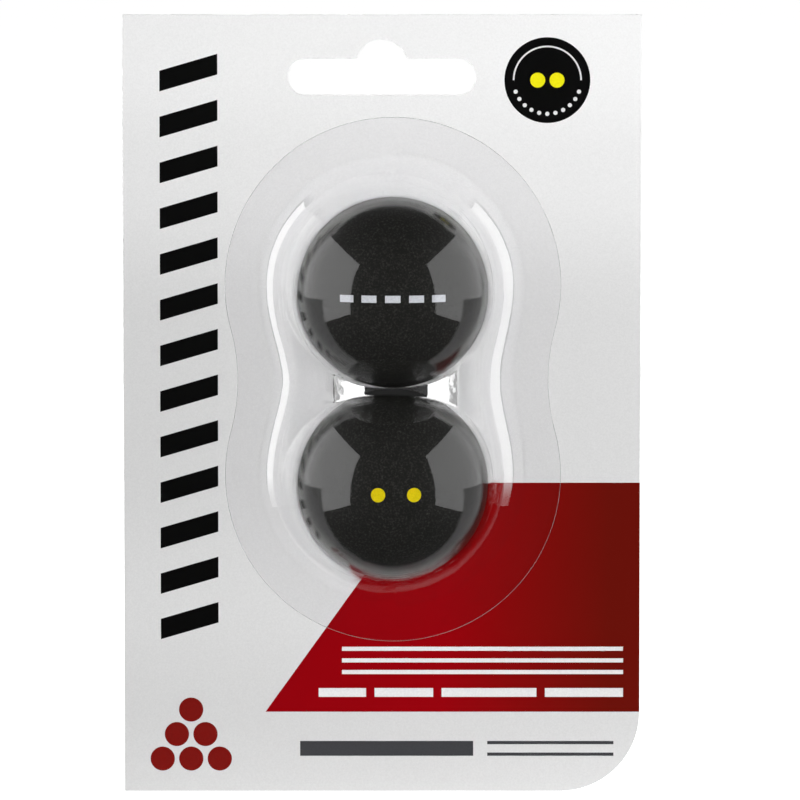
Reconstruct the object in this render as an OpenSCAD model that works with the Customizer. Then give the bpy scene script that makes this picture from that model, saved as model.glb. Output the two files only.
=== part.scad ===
// Carded blister pack of two squash balls, hanging upright by its slot.
// The origin is the centre of the slot's hump, in the plane of the card's back face.
// X runs to the right, Y to the back and Z up, so the balls face -Y.

/* [Balls] */
// Diameter of each ball
ball_d = 40; // [36:0.5:44]
// Rubber wall of each half shell
ball_wall = 5.2; // [3:0.1:8]
// Thickness of the bond line between two half shells
bond_t = 0.2; // [0.1:0.05:0.5]
// Gap between the two balls
ball_gap = 0.4; // [0.3:0.1:0.9]
// Depth to which print soaks into the rubber
ball_ink_t = 0.1; // [0.05:0.05:0.3]

/* [Speed dots] */
// Diameter of each yellow dot
dot_d = 3; // [2:0.1:4]
// Distance between the centres of the two dots
dot_pitch = 7.5; // [5:0.5:10]
// Turn of the lower ball in its pocket, to the right
lower_turn = 2; // [-20:1:20]
// Tilt of the lower ball in its pocket, downwards
lower_tilt = 1; // [-10:1:10]

/* [Ball dashes] */
// Number of dashes printed round the front of the upper ball
dash_count = 5; // [1:1:9]
// Length of each dash
dash_w = 3.2; // [1:0.1:3.5]
// Height of each dash
dash_h = 1.5; // [0.5:0.1:3]
// Distance from dash to dash along the ball
dash_pitch = 5; // [4:0.1:6]

/* [Card] */
// Width of the card
card_w = 110; // [100:1:130]
// Height of the card
card_h = 166; // [160:1:200]
// Thickness of the board
board_t = 0.5; // [0.3:0.05:1.5]
// Thickness of the silver film laminated on the front
film_t = 0.15; // [0.1:0.05:0.3]
// Thickness of the ink, sunk level with the film
ink_t = 0.08; // [0.04:0.01:0.09]
// Radius of the lower right corner
corner_r = 17; // [5:1:18]

/* [Hang slot] */
// Width of the slot
slot_w = 40; // [30:1:50]
// Height of the slot
slot_h = 7.7; // [6:0.1:10]
// Diameter of the round hump above the slot
hump_d = 11; // [9:0.5:14]
// Distance from the hump's centre down to the slot's middle
slot_drop = 2.4; // [1:0.1:3]
// Distance from the card's top edge down to the hump's centre
hump_down = 10.8; // [9:0.1:15]

/* [Blister] */
// Thickness of the clear sheet
blister_t = 0.35; // [0.2:0.05:0.6]
// Thickness of the heat seal coat under the flange
seal_t = 0.1; // [0.05:0.05:0.2]
// Clearance between a ball and its pocket, and behind the ball
pocket_gap = 0.5; // [0.3:0.1:0.9]
// Lean of a pocket's wall, off upright
wall_lean = 6; // [2:0.5:10]
// Outer radius of the fillet where a wall meets the flange
foot_fillet = 5.8; // [2:0.1:7]
// Width of the flat flange round the pockets
flange_w = 7.6; // [5:0.1:9]
// Distance from the hump's centre down to the blister's middle
blister_down = 66.9; // [64:0.1:72]
// Distance of the blister's middle to the right of the card's middle
blister_side = 2.35; // [0:0.05:6]

/* [Neck between the pockets] */
// Width of the neck's crown
neck_w = 26.2; // [20:0.1:27]
// Radius of the neck's crown, seen from below
neck_crown_r = 15.25; // [14:0.05:20]
// Height of the neck's crown over the card
neck_h = 28; // [20:0.5:32]
// Distance of the crown to the right of the blister's middle
crown_side = 0.7; // [0:0.1:1.5]
// Lean of the neck's left side, off upright
left_lean = 25.5; // [15:0.5:32]
// Lean of the neck's right side, off upright
right_lean = 17.5; // [15:0.5:32]
// How far the flange draws in at the neck, on each side
flange_draw = 2.7; // [1:0.1:5]

/* [Red panel] */
// Height of the panel
panel_h = 49.2; // [40:0.1:60]
// Distance from the card's bottom edge up to the panel
panel_up = 17.1; // [17:0.1:25]
// Distance from the card's left edge to the panel's lower left corner
panel_in = 30.1; // [20:0.1:45]
// Slope of the panel's left edge
panel_slope = 54.3; // [45:0.1:80]

/* [Badge] */
// Diameter of the black badge
badge_d = 18.2; // [16:0.1:20]
// Distance from the card's right edge to the badge's centre
badge_in = 19.9; // [12:0.1:25]
// Distance from the card's top edge down to the badge's centre
badge_down = 13.9; // [11:0.1:16]
// Diameter of the white line round the badge
ring_d = 14.3; // [12:0.1:15]
// Width of the white line
ring_w = 0.35; // [0.2:0.05:0.6]
// Diameter of each yellow dot on the badge
badge_dot_d = 3.2; // [2:0.1:4]
// Distance between the centres of the badge's yellow dots
badge_dot_pitch = 4.1; // [4.05:0.05:6]
// Number of white ticks below the line
tick_count = 11; // [3:2:15]
// Diameter of each tick
tick_d = 0.9; // [0.4:0.1:1.2]

/* [Side bars] */
// Number of slanted bars down the left side
bar_count = 13; // [5:1:15]
// Width of the bars
bar_w = 12.3; // [8:0.1:14]
// Height of each bar
bar_h = 4.4; // [2:0.1:5.5]
// Rise of each bar from left to right
bar_rise = 3.6; // [0:0.1:5]
// Distance from the card's left edge to the bars
bars_in = 7.8; // [4:0.1:9]
// Distance from the card's top edge down to the highest bar
bars_down = 8.3; // [5:0.1:15]
// Distance from the card's bottom edge up to the lowest bar
bars_up = 32.7; // [25:0.1:45]

/* [Corner spots] */
// Number of rows in the stack of spots
spot_rows = 3; // [1:1:3]
// Diameter of each spot
spot_d = 5.2; // [3:0.1:5.5]
// Distance from spot to spot
spot_pitch = 6.1; // [5.6:0.1:6.5]
// Distance from the card's left edge to the stack's middle
spots_in = 14.2; // [12:0.1:18]
// Distance from the card's bottom edge up to the lowest spots' centres
spots_up = 7; // [4:0.1:8]

/* [Caption lines] */
// Number of white pinstripes on the red panel
stripe_count = 3; // [1:1:4]
// Height of each pinstripe
stripe_h = 0.9; // [0.4:0.1:1.2]
// Distance from pinstripe to pinstripe
stripe_pitch = 2.5; // [1.5:0.1:2.6]
// Clear space between the panel's slanted edge and the pinstripes
stripe_clear = 6.3; // [3:0.1:20]
// Distance from the card's right edge to the pinstripes and the blocks
caption_in = 3.5; // [2:0.1:8]
// Distance from the panel's bottom edge up to the lowest pinstripe
stripe_up = 8.1; // [7:0.1:12]
// Height of the row of white blocks
block_h = 1.9; // [1:0.1:3]
// Clear space between the panel's slanted edge and the blocks
block_clear = 7.7; // [3:0.1:20]
// Gap between two blocks
block_gap = 1.8; // [1:0.1:3]
// Distance from the panel's bottom edge up to the blocks
block_up = 3.2; // [1:0.1:4]

/* [Footer lines] */
// Height of the heavy grey line
heavy_h = 3.2; // [2:0.1:4]
// Length of the heavy grey line
heavy_w = 37; // [20:0.5:40]
// Height of each light grey line
light_h = 0.7; // [0.4:0.1:1]
// Length of the light grey lines
light_w = 27; // [15:0.5:30]
// Gap between the heavy line and the light lines
footer_gap = 3; // [1:0.5:6]
// Distance from the card's left edge to the footer lines
footer_in = 37.5; // [34:0.5:45]
// Distance from the card's bottom edge up to the footer lines
footer_up = 7.6; // [4:0.1:10]

/* [Hidden] */
$fn = 96;
over = 1; // overrun of every cut

card_front = board_t + film_t;
card_top = hump_down;
card_bottom = card_top - card_h;
card_left = -card_w / 2;
card_right = card_w / 2;
slot_top = slot_h / 2 - slot_drop;
slot_fillet = slot_h / 6;
fillet_bite = slot_fillet / 20; // how far a shoulder's arc reaches into the hump

ball_r = ball_d / 2;
ball_out = card_front + pocket_gap + ball_r; // from the card's back to a ball's middle
ball_up = (ball_d + ball_gap) / 2; // from the blister's middle to a ball's middle
pocket_r = ball_r + pocket_gap;
pocket_h = ball_out - card_front; // height of a pocket's straight wall
fillet_r = foot_fillet + blister_t; // radius of the fillet on the sheet's inner face
fillet_sink = seal_t / 2; // how far the fillet's arc ends inside the flange and the coat
fillet_h = seal_t + fillet_r - fillet_sink; // height of the fillet's middle
foot_r = fillet_out(pocket_r, pocket_h, wall_lean);
flange_r = foot_r + flange_w;
crown_turn = asin(neck_w / 2 / neck_crown_r); // from the crown's top to its side
crown_mid = neck_h - neck_crown_r;
outline_steps = 12; // points on each quarter of the flange's outline
fillet_steps = 6;
crown_steps = 16;
dot_turn = asin(dot_pitch / ball_d);
dash_turn = dash_pitch / ball_r * 180 / PI;

panel_bottom = card_bottom + panel_up;
panel_lean = panel_h / tan(panel_slope);
badge_x = card_right - badge_in;
badge_z = card_top - badge_down;
bar_pitch = (card_h - bars_down - bars_up - bar_h - bar_rise) / (bar_count - 1);
spot_rise = spot_pitch * sin(60);
tick_span = 140; // angle that the ticks cover below the badge's middle
stripes_top = stripe_up + (stripe_count - 1) * stripe_pitch + stripe_h;
caption_w = card_w - panel_in - caption_in; // room for the caption along the panel's bottom edge
stripe_w = caption_w - stripe_clear - stripes_top / tan(panel_slope);
blocks_w = caption_w - block_clear - (block_up + block_h) / tan(panel_slope);
block_shares = [0.17, 0.21, 0.34, 0.28]; // lengths of the blocks along their row

// Takes what is drawn on the page (x to the right, y up) to its depth in front of the card's back.
module on_card(depth) {
    rotate([90, 0, 0])
        translate([0, 0, depth])
            children();
}

// A printed or laminated layer of the card, level with the film's face.
module card_layer(thickness) {
    on_card(card_front - thickness)
        linear_extrude(thickness)
            children();
}

module card_outline() {
    difference() {
        translate([card_left, card_bottom])
            square([card_w, card_h]);
        translate([card_right - corner_r, card_bottom + corner_r])
            difference() {
                translate([0, -corner_r - over])
                    square([corner_r + over, corner_r + over]);
                circle(corner_r);
            }
    }
}

// One rounded shoulder between the hump and the slot's upper edge.
module slot_shoulder() {
    rise = slot_top + slot_fillet;
    run = sqrt(pow(hump_d / 2 + slot_fillet - fillet_bite, 2) - pow(rise, 2));
    difference() {
        polygon([[0, 0], [run, slot_top - slot_fillet], [run, rise]]);
        translate([run, rise])
            circle(slot_fillet);
    }
}

module hang_slot_outline() {
    end_x = (slot_w - slot_h) / 2;
    translate([-end_x, -slot_h / 2 - slot_drop])
        square([end_x * 2, slot_h]);
    for (side = [-1, 1])
        translate([side * end_x, -slot_drop])
            circle(slot_h / 2);
    circle(hump_d / 2);
    slot_shoulder();
    mirror([1, 0])
        slot_shoulder();
}

module red_panel_outline() {
    left = card_left + panel_in;
    polygon([
        [left, panel_bottom],
        [card_right, panel_bottom],
        [card_right, panel_bottom + panel_h],
        [left + panel_lean, panel_bottom + panel_h]
    ]);
}

module badge_ring_outline() {
    translate([badge_x, badge_z]) {
        intersection() {
            difference() {
                circle(ring_d / 2 + ring_w / 2);
                circle(ring_d / 2 - ring_w / 2);
            }
            translate([-badge_d / 2, 0])
                square([badge_d, badge_d / 2]);
        }
        for (i = [0:tick_count - 1])
            rotate(-90 - tick_span / 2 + i * tick_span / (tick_count - 1))
                translate([ring_d / 2, 0])
                    circle(tick_d / 2);
    }
}

module badge_dots_outline() {
    for (side = [-1, 1])
        translate([badge_x + side * badge_dot_pitch / 2, badge_z])
            circle(badge_dot_d / 2);
}

module side_bars_outline() {
    left = card_left + bars_in;
    top = card_top - bars_down;
    for (i = [0:bar_count - 1])
        translate([left, top - bar_rise - bar_h - i * bar_pitch])
            polygon([[0, 0], [bar_w, bar_rise], [bar_w, bar_rise + bar_h], [0, bar_h]]);
}

module corner_spots_outline() {
    for (row = [0:spot_rows - 1])
        for (i = [0:spot_rows - 1 - row])
            translate([
                card_left + spots_in + (i - (spot_rows - 1 - row) / 2) * spot_pitch,
                card_bottom + spots_up + row * spot_rise
            ])
                circle(spot_d / 2);
}

function sum_to(list, n) = n == 0 ? 0 : list[n - 1] + sum_to(list, n - 1);

module caption_lines_outline() {
    right = card_right - caption_in;
    block_run = blocks_w - block_gap * (len(block_shares) - 1);
    for (i = [0:stripe_count - 1])
        translate([right - stripe_w, panel_bottom + stripe_up + i * stripe_pitch])
            square([stripe_w, stripe_h]);
    for (i = [0:len(block_shares) - 1])
        translate([
            right - blocks_w + sum_to(block_shares, i) * block_run + i * block_gap,
            panel_bottom + block_up
        ])
            square([block_shares[i] * block_run, block_h]);
}

module footer_lines_outline() {
    left = card_left + footer_in;
    bottom = card_bottom + footer_up;
    translate([left, bottom])
        square([heavy_w, heavy_h]);
    for (rise = [0, heavy_h - light_h])
        translate([left + heavy_w + footer_gap, bottom + rise])
            square([light_w, light_h]);
}

// The board and the film share this shape: the card less its hang slot.
module punched_card() {
    difference() {
        card_outline();
        hang_slot_outline();
    }
}

module card_board() {
    color("gainsboro")
        on_card(0)
            linear_extrude(board_t)
                punched_card();
}

module silver_film() {
    color("silver")
        difference() {
            card_layer(film_t)
                punched_card();
            on_card(card_front - ink_t)
                linear_extrude(ink_t + over) {
                    red_panel_outline();
                    translate([badge_x, badge_z])
                        circle(badge_d / 2);
                    side_bars_outline();
                    corner_spots_outline();
                    footer_lines_outline();
                }
        }
}

module red_panel() {
    color("firebrick")
        card_layer(ink_t)
            difference() {
                red_panel_outline();
                caption_lines_outline();
            }
}

module badge_disc() {
    color("black")
        card_layer(ink_t)
            difference() {
                translate([badge_x, badge_z])
                    circle(badge_d / 2);
                badge_ring_outline();
                badge_dots_outline();
            }
}

module badge_ring() {
    color("white")
        card_layer(ink_t)
            badge_ring_outline();
}

module badge_dots() {
    color("yellow")
        card_layer(ink_t)
            badge_dots_outline();
}

module side_bars() {
    color("black")
        card_layer(ink_t)
            side_bars_outline();
}

module corner_spots() {
    color("darkred")
        card_layer(ink_t)
            corner_spots_outline();
}

module caption_lines() {
    color("white")
        card_layer(ink_t)
            caption_lines_outline();
}

module footer_lines() {
    color("dimgray")
        card_layer(ink_t)
            footer_lines_outline();
}

// A smooth waisted outline round both pockets: a circle round each, joined by two hollow arcs.
function waisted(r, waist) =
    let (
        hollow_r = (pow(waist, 2) + pow(ball_up, 2) - pow(r, 2)) / (2 * (r - waist)),
        lean = atan(ball_up / (waist + hollow_r)),
        ends = [for (i = [0:outline_steps * 2])
            let (a = -lean + i * (180 + 2 * lean) / (outline_steps * 2))
            [r * cos(a), ball_up + r * sin(a)]],
        hollows = [for (i = [1:outline_steps - 1])
            let (a = 180 - lean + i * 2 * lean / outline_steps)
            [-waist - hollow_r - hollow_r * cos(a), -hollow_r * sin(a)]]
    )
    concat(ends, [for (p = hollows) [p.x, -p.y]], -ends, [for (p = hollows) [-p.x, p.y]]);

// Places what is drawn round the blister's middle on the card.
module on_blister(depth) {
    translate([blister_side, 0, -blister_down])
        on_card(depth)
            children();
}

// Distance out to the middle of the fillet at the foot of a wall that leans out from (x, h).
function fillet_out(x, h, lean) =
    x + (h - fillet_h + fillet_r * sin(lean)) * tan(lean) + fillet_r * cos(lean);

// The points of a foot's fillet, from its wall down to the flange and below the card.
function foot_points(out, lean, grow) =
    concat(
        [for (i = [0:fillet_steps])
            let (a = lean + i * (90 - lean) / fillet_steps)
            [out - (fillet_r - grow) * cos(a), fillet_h - (fillet_r - grow) * sin(a)]],
        [[out, -over]]
    );

// The space round one ball, from below the card's face to the dome, grown by the sheet.
module pocket_space(grow) {
    rotate_extrude()
        polygon(concat(
            [[0, -over], [0, pocket_h], [pocket_r + grow, pocket_h]],
            foot_points(foot_r, wall_lean, grow)
        ));
    translate([0, 0, pocket_h])
        sphere(pocket_r + grow);
}

// The neck that joins both pockets: leaning sides with fillets, under a round crown.
module neck_space(grow) {
    knee_h = crown_mid + neck_crown_r * cos(crown_turn);
    left = foot_points(fillet_out(neck_w / 2 - crown_side, knee_h, left_lean), left_lean, grow);
    right = foot_points(fillet_out(neck_w / 2 + crown_side, knee_h, right_lean), right_lean, grow);
    crown = [for (i = [0:crown_steps])
        let (a = (i * 2 / crown_steps - 1) * crown_turn)
        [crown_side + (neck_crown_r + grow) * sin(a), crown_mid + (neck_crown_r + grow) * cos(a)]];
    rotate([90, 0, 0])
        translate([0, 0, -ball_up])
            linear_extrude(ball_up * 2)
                polygon(concat(
                    [for (i = [len(left) - 1:-1:0]) [-left[i].x, left[i].y]],
                    crown,
                    right
                ));
}

module blister_space(grow) {
    for (side = [-1, 1])
        translate([0, side * ball_up, 0])
            pocket_space(grow);
    neck_space(grow);
}

module flange_outline() {
    polygon(waisted(flange_r, flange_r - flange_draw));
}

module seal_coat() {
    color("lightyellow")
        on_blister(card_front)
            difference() {
                linear_extrude(seal_t)
                    flange_outline();
                blister_space(0);
            }
}

module clear_blister() {
    color("lightcyan", 0.3)
        on_blister(card_front)
            difference() {
                union() {
                    translate([0, 0, seal_t])
                        linear_extrude(blister_t)
                            flange_outline();
                    intersection() {
                        blister_space(blister_t);
                        translate([-flange_r, -flange_r - ball_up, seal_t])
                            cube([flange_r * 2, (flange_r + ball_up) * 2, pocket_h + pocket_r * 2]);
                    }
                }
                blister_space(0);
            }
}

// Places a ball's pieces: side is 1 for the upper ball and -1 for the lower one.
module ball_place(side) {
    on_blister(ball_out)
        translate([0, side * ball_up, 0])
            children();
}

// A sphere whose poles and seam lie off its printed side: side is 1 for print in front, -1 behind.
module ball_sphere(r, side) {
    rotate([90, 0, 0])
        rotate([0, 0, -side * 90])
            sphere(r);
}

// The outer skin of a ball, as deep as print soaks in.
module ink_skin(side) {
    difference() {
        ball_sphere(ball_r, side);
        ball_sphere(ball_r - ball_ink_t, side);
    }
}

// Both speed dots as drilled through the skin, with their middle turned and tilted off the front.
module dot_rods(turn, tilt) {
    rotate([tilt, turn, 0])
        for (side = [-1, 1])
            rotate([0, side * dot_turn, 0])
                cylinder(d = dot_d, h = ball_d);
}

module dash_rods() {
    for (i = [0:dash_count - 1])
        rotate([0, (i - (dash_count - 1) / 2) * dash_turn, 0])
            translate([-dash_w / 2, -dash_h / 2, 0])
                cube([dash_w, dash_h, ball_d]);
}

// Half of a ball: side is 1 for the front half and -1 for the rear one.
module half_shell(side) {
    difference() {
        ball_sphere(ball_r, side);
        ball_sphere(ball_r - ball_wall, side);
        translate([-ball_d, -ball_d, side > 0 ? bond_t / 2 - ball_d : -bond_t / 2])
            cube([ball_d * 2, ball_d * 2, ball_d]);
    }
}

// The thin ring of adhesive that joins two half shells.
module bond_ring() {
    intersection() {
        difference() {
            sphere(ball_r);
            sphere(ball_r - ball_wall);
        }
        translate([-ball_d, -ball_d, -bond_t / 2])
            cube([ball_d * 2, ball_d * 2, bond_t]);
    }
}

// What a print takes out of the half shell on its side.
module print_pocket(side) {
    difference() {
        children();
        ball_sphere(ball_r - ball_ink_t, side);
    }
}

module upper_front_half() {
    color("darkslategray")
        ball_place(1)
            difference() {
                half_shell(1);
                print_pocket(1)
                    dash_rods();
            }
}

module upper_rear_half() {
    color("darkslategray")
        ball_place(1)
            difference() {
                half_shell(-1);
                print_pocket(-1)
                    dot_rods(180, 0);
            }
}

module upper_bond() {
    color("black")
        ball_place(1)
            bond_ring();
}

module upper_dashes() {
    color("white")
        ball_place(1)
            intersection() {
                ink_skin(1);
                dash_rods();
            }
}

module upper_dots() {
    color("yellow")
        ball_place(1)
            intersection() {
                ink_skin(-1);
                dot_rods(180, 0);
            }
}

module lower_front_half() {
    color("darkslategray")
        ball_place(-1)
            difference() {
                half_shell(1);
                print_pocket(1)
                    dot_rods(lower_turn, lower_tilt);
            }
}

module lower_rear_half() {
    color("darkslategray")
        ball_place(-1)
            half_shell(-1);
}

module lower_bond() {
    color("black")
        ball_place(-1)
            bond_ring();
}

module lower_dots() {
    color("yellow")
        ball_place(-1)
            intersection() {
                ink_skin(1);
                dot_rods(lower_turn, lower_tilt);
            }
}

card_board();
silver_film();
red_panel();
badge_disc();
badge_ring();
badge_dots();
side_bars();
corner_spots();
caption_lines();
footer_lines();
seal_coat();
clear_blister();
upper_front_half();
upper_rear_half();
upper_bond();
upper_dashes();
upper_dots();
lower_front_half();
lower_rear_half();
lower_bond();
lower_dots();
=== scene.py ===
import math

import bpy
import numpy as np
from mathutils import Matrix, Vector


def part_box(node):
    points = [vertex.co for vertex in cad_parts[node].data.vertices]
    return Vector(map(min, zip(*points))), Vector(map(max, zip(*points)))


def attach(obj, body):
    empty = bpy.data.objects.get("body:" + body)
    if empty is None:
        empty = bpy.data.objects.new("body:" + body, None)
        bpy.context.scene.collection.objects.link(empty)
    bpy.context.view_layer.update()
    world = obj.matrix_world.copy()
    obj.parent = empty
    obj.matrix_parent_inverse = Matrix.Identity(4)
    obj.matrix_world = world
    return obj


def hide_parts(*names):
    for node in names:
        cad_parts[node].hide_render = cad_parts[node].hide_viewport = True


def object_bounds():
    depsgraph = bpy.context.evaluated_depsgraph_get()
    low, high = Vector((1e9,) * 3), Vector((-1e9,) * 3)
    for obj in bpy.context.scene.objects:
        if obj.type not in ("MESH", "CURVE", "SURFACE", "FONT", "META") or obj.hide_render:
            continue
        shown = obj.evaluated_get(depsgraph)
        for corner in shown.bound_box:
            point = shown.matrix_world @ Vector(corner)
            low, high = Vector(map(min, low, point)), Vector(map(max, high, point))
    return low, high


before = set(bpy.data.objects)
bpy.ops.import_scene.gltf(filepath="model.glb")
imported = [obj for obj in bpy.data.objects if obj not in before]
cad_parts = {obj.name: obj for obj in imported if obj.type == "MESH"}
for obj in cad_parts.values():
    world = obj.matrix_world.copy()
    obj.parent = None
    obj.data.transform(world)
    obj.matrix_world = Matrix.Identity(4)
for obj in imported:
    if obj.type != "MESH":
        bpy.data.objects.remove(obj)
cad_low, cad_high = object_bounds()

# The camera stands far in front of the hanging card and a little above its middle, so the
# card's edges stay almost parallel.
MM = 0.001
look_at = Vector((3.85, -0.65, -71.2)) * MM
camera_rise = math.radians(5.1)
camera_away = 1.5
camera_lens = 317


def new_object(name, data):
    """Adds an object that holds a camera or a mesh."""
    thing = bpy.data.objects.new(name, data)
    bpy.context.scene.collection.objects.link(thing)
    return thing


camera_data = bpy.data.cameras.new("camera")
camera_data.lens = camera_lens
camera = new_object("camera", camera_data)
camera.location = look_at + camera_away * Vector((0, -math.cos(camera_rise), math.sin(camera_rise)))
camera.rotation_euler = (look_at - camera.location).to_track_quat("-Z", "Y").to_euler()
bpy.context.scene.camera = camera
bpy.context.scene.view_settings.view_transform = "Standard"


# The studio is a pale table under a white backdrop, with a broad soft box on each side. A small
# lamp close to the camera's line lights the front without shadows, and one behind lights the back.
def new_material(name):
    material = bpy.data.materials.new(name)
    material.use_nodes = True
    material.node_tree.nodes.clear()
    return material


def node(tree, kind, **values):
    """Adds a node, and sets each value on its property or on its input of that name."""
    new = tree.nodes.new(kind)
    for name, value in values.items():
        if hasattr(new, name):
            setattr(new, name, value)
        else:
            new.inputs[name.replace("_", " ")].default_value = value
    return new


def flat_sheet(name, corners, material):
    """A flat sheet of the studio with four corners."""
    mesh = bpy.data.meshes.new(name)
    mesh.from_pydata(corners, [], [(0, 1, 2, 3)])
    mesh.materials.append(material)
    return new_object(name, mesh)


def light_panel(name, centre, size, strength, gloss_strength=0.0):
    """A glowing sheet that faces the pack, seen by no camera and in gloss at its own strength."""
    away = (centre - look_at).normalized()
    across = Vector((0, 0, 1)).cross(away).normalized()
    up = away.cross(across)
    corners = [
        centre + across * x * size[0] / 2 + up * z * size[1] / 2
        for x, z in ((-1, -1), (1, -1), (1, 1), (-1, 1))
    ]
    material = new_material(name)
    tree = material.node_tree
    path = node(tree, "ShaderNodeLightPath")
    level = node(tree, "ShaderNodeMix", data_type="FLOAT")
    level.inputs["A"].default_value = strength
    level.inputs["B"].default_value = gloss_strength
    glow = node(tree, "ShaderNodeEmission")
    output = node(tree, "ShaderNodeOutputMaterial")
    tree.links.new(path.outputs["Is Glossy Ray"], level.inputs["Factor"])
    tree.links.new(level.outputs["Result"], glow.inputs["Strength"])
    tree.links.new(glow.outputs[0], output.inputs["Surface"])
    panel = flat_sheet(name, corners, material)
    panel.visible_camera = False
    panel.visible_glossy = gloss_strength > 0


def around(turn, rise, away):
    """A place seen from the pack, turned from the camera's side to the right and raised, in degrees."""
    turn, rise = math.radians(turn), math.radians(rise)
    return look_at + away * Vector((
        math.sin(turn) * math.cos(rise), -math.cos(turn) * math.cos(rise), math.sin(rise)
    ))


box_turn = 88
box_rise = 9.5
box_away = 1.0
box_size = (1.62, 1.27)
box_strength = 0.5
left_box_gloss = 1.3
right_box_gloss = 1.15
front_lamp_place = around(1, 6, 1.3)
front_lamp_size = (0.2, 0.2)
front_lamp_strength = 112
back_lamp_place = around(180, 25, 0.9)
back_lamp_size = (0.8, 0.6)
back_lamp_strength = 3.2
for side, name, gloss in ((-1, "left_soft_box", left_box_gloss), (1, "right_soft_box", right_box_gloss)):
    light_panel(name, around(side * box_turn, box_rise, box_away), box_size, box_strength, gloss)
light_panel("front_lamp", front_lamp_place, front_lamp_size, front_lamp_strength)
light_panel("back_lamp", back_lamp_place, back_lamp_size, back_lamp_strength)

floor_front = -18 * MM
floor_back = 6
floor_side = 4
floor_z = cad_low[2]
floor_paint = (0.82, 0.82, 0.82, 1)
floor_glow = 0.95
floor_material = new_material("pale_floor")
tree = floor_material.node_tree
path = node(tree, "ShaderNodeLightPath")
paint = node(tree, "ShaderNodeBsdfDiffuse", Color=floor_paint)
lift = node(tree, "ShaderNodeMath", operation="MULTIPLY")
lift.inputs[1].default_value = floor_glow
glow = node(tree, "ShaderNodeEmission")
both = node(tree, "ShaderNodeAddShader")
output = node(tree, "ShaderNodeOutputMaterial")
tree.links.new(path.outputs["Is Camera Ray"], lift.inputs[0])
tree.links.new(lift.outputs[0], glow.inputs["Strength"])
tree.links.new(paint.outputs[0], both.inputs[0])
tree.links.new(glow.outputs[0], both.inputs[1])
tree.links.new(both.outputs[0], output.inputs["Surface"])
floor_corners = [
    (-floor_side, floor_front, floor_z), (floor_side, floor_front, floor_z),
    (floor_side, floor_back, floor_z), (-floor_side, floor_back, floor_z),
]
floor = flat_sheet("floor", floor_corners, floor_material)

ambient = 0.06
studio_dark = 0.02
backdrop_gloss = 0.7
backdrop_start = 0.5
backdrop_full = 0.7
world = bpy.data.worlds.new("studio")
bpy.context.scene.world = world
world.use_nodes = True
world.cycles.sampling_method = "NONE"
tree = world.node_tree
tree.nodes.clear()
path = node(tree, "ShaderNodeLightPath")
direction = node(tree, "ShaderNodeTexCoord")
split = node(tree, "ShaderNodeSeparateXYZ")
behind = node(tree, "ShaderNodeMapRange")
behind.inputs["From Min"].default_value = backdrop_start
behind.inputs["From Max"].default_value = backdrop_full
behind.inputs["To Min"].default_value = studio_dark
behind.inputs["To Max"].default_value = backdrop_gloss
shiny = node(tree, "ShaderNodeMath", operation="MAXIMUM")
gloss_or_air = node(tree, "ShaderNodeMix", data_type="FLOAT")
gloss_or_air.inputs["A"].default_value = ambient
seen = node(tree, "ShaderNodeMix", data_type="FLOAT")
seen.inputs["B"].default_value = 1.0
sky = node(tree, "ShaderNodeBackground", Color=(1, 1, 1, 1))
output = node(tree, "ShaderNodeOutputWorld")
tree.links.new(direction.outputs["Generated"], split.inputs[0])
tree.links.new(split.outputs["Y"], behind.inputs["Value"])
tree.links.new(path.outputs["Is Glossy Ray"], shiny.inputs[0])
tree.links.new(path.outputs["Is Transmission Ray"], shiny.inputs[1])
tree.links.new(shiny.outputs[0], gloss_or_air.inputs["Factor"])
tree.links.new(behind.outputs["Result"], gloss_or_air.inputs["B"])
tree.links.new(path.outputs["Is Camera Ray"], seen.inputs["Factor"])
tree.links.new(gloss_or_air.outputs["Result"], seen.inputs["A"])
tree.links.new(seen.outputs["Result"], sky.inputs["Strength"])
tree.links.new(sky.outputs[0], output.inputs["Surface"])


# The board is thin white-backed carton, die cut with its hang slot and one round corner. Its
# fibres show on the back and the cut edges.
def principled(name, **values):
    """A material with a Principled shader: returns the material, its tree and the shader."""
    material = new_material(name)
    tree = material.node_tree
    shader = node(tree, "ShaderNodeBsdfPrincipled", **values)
    output = node(tree, "ShaderNodeOutputMaterial")
    tree.links.new(shader.outputs[0], output.inputs["Surface"])
    return material, tree, shader


def grain(tree, scale, detail=2.0, roughness=0.5, stretch=(1, 1, 1)):
    """Noise on the object's own coordinates, scale in patches to the metre."""
    place = node(tree, "ShaderNodeTexCoord")
    mapping = node(tree, "ShaderNodeMapping")
    mapping.inputs["Scale"].default_value = stretch
    noise = node(tree, "ShaderNodeTexNoise", Scale=scale, Detail=detail, Roughness=roughness)
    tree.links.new(place.outputs["Object"], mapping.inputs["Vector"])
    tree.links.new(mapping.outputs[0], noise.inputs["Vector"])
    return noise.outputs["Fac"]


def colour_ramp(tree, value, stops, interpolation="LINEAR"):
    """Turns a value into a colour. Each stop is a value and the red, green and blue there."""
    ramp = node(tree, "ShaderNodeValToRGB")
    ramp.color_ramp.interpolation = interpolation
    for element, (place, colour) in zip(ramp.color_ramp.elements, (stops[0], stops[-1])):
        element.position = place
        element.color = (*colour, 1)
    for place, colour in stops[1:-1]:
        ramp.color_ramp.elements.new(place).color = (*colour, 1)
    tree.links.new(value, ramp.inputs["Fac"])
    return ramp.outputs["Color"]


def bump(tree, shader, height, distance, strength=1.0):
    """Raises the surface by a height map, distance in metres."""
    lift = node(tree, "ShaderNodeBump", Strength=strength, Distance=distance)
    tree.links.new(height, lift.inputs["Height"])
    tree.links.new(lift.outputs[0], shader.inputs["Normal"])


def dress(name, material):
    """Gives a node of the frame its material."""
    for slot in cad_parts[name].material_slots:
        slot.material = material


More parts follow.
